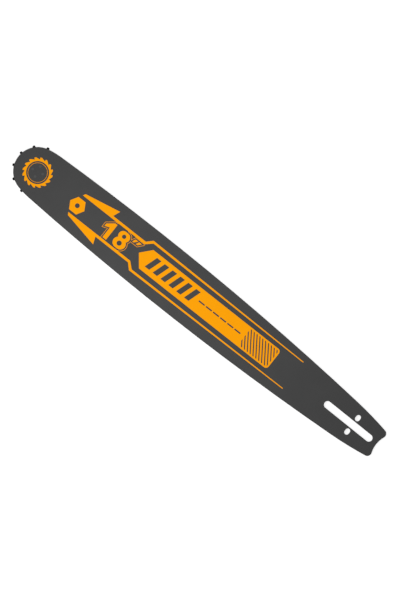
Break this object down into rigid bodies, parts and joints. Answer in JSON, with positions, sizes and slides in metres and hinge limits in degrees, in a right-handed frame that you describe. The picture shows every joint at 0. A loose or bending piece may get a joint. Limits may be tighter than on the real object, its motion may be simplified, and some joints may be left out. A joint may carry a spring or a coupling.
{
  "type": "chainsaw guide bar",
  "caption": "Long flat chainsaw guide bar with a chain groove round its edge, a toothed wheel on needle rollers in the nose, and a stud slot between tensioner holes at the tail.",
  "frame": {"origin": "middle of the stud slot, on the lower face, where the saw clamps the bar", "axes": "+X along the bar to its nose, +Y across it, +Z out of the printed face"},
  "size_m": [0.5092, 0.0652, 0.0044],
  "materials": {
    "dark_paint": "satin dark grey paint",
    "gold_ink": "satin gold screen-print ink",
    "black_oxide": "blackened steel with a little oil",
    "bearing_steel": "ground bearing steel"
  },
  "bodies": {
    "bar": {"lower_side_plate": "dark_paint", "core_plate": "black_oxide", "upper_side_plate": "dark_paint", "bearing_race": "bearing_steel", "nose_rivets": "dark_paint", "print_saw_ring": "gold_ink", "print_thin_ring": "gold_ink", "print_nut": "gold_ink", "print_border_left": "gold_ink", "print_border_right": "gold_ink", "print_panel": "gold_ink", "print_digit_one": "gold_ink", "print_digit_eight": "gold_ink", "print_inch_mark": "gold_ink", "print_keyline": "gold_ink"},
    "sprocket": {"nose_sprocket": "black_oxide"},
    "rollers": {"needle_roller_01": "bearing_steel", "needle_roller_02": "bearing_steel", "needle_roller_03": "bearing_steel", "needle_roller_04": "bearing_steel", "needle_roller_05": "bearing_steel", "needle_roller_06": "bearing_steel", "needle_roller_07": "bearing_steel", "needle_roller_08": "bearing_steel", "needle_roller_09": "bearing_steel", "needle_roller_10": "bearing_steel", "needle_roller_11": "bearing_steel", "needle_roller_12": "bearing_steel", "needle_roller_13": "bearing_steel", "needle_roller_14": "bearing_steel", "needle_roller_15": "bearing_steel", "needle_roller_16": "bearing_steel", "needle_roller_17": "bearing_steel", "needle_roller_18": "bearing_steel", "needle_roller_19": "bearing_steel"}
  },
  "joints": [
    {"name": "sprocket_spin", "type": "hinge", "parent": "bar", "child": "sprocket", "pos_m": [0.4386, 0, 0.0022], "axis": [0, 0, 1], "continuous": true},
    {"name": "roller_orbit", "type": "hinge", "parent": "bar", "child": "rollers", "pos_m": [0.4386, 0, 0.0022], "axis": [0, 0, 1], "continuous": true}
  ],
  "couplings": [
    {"joint": "roller_orbit", "follows": "sprocket_spin", "ratio": 0.5764}
  ]
}
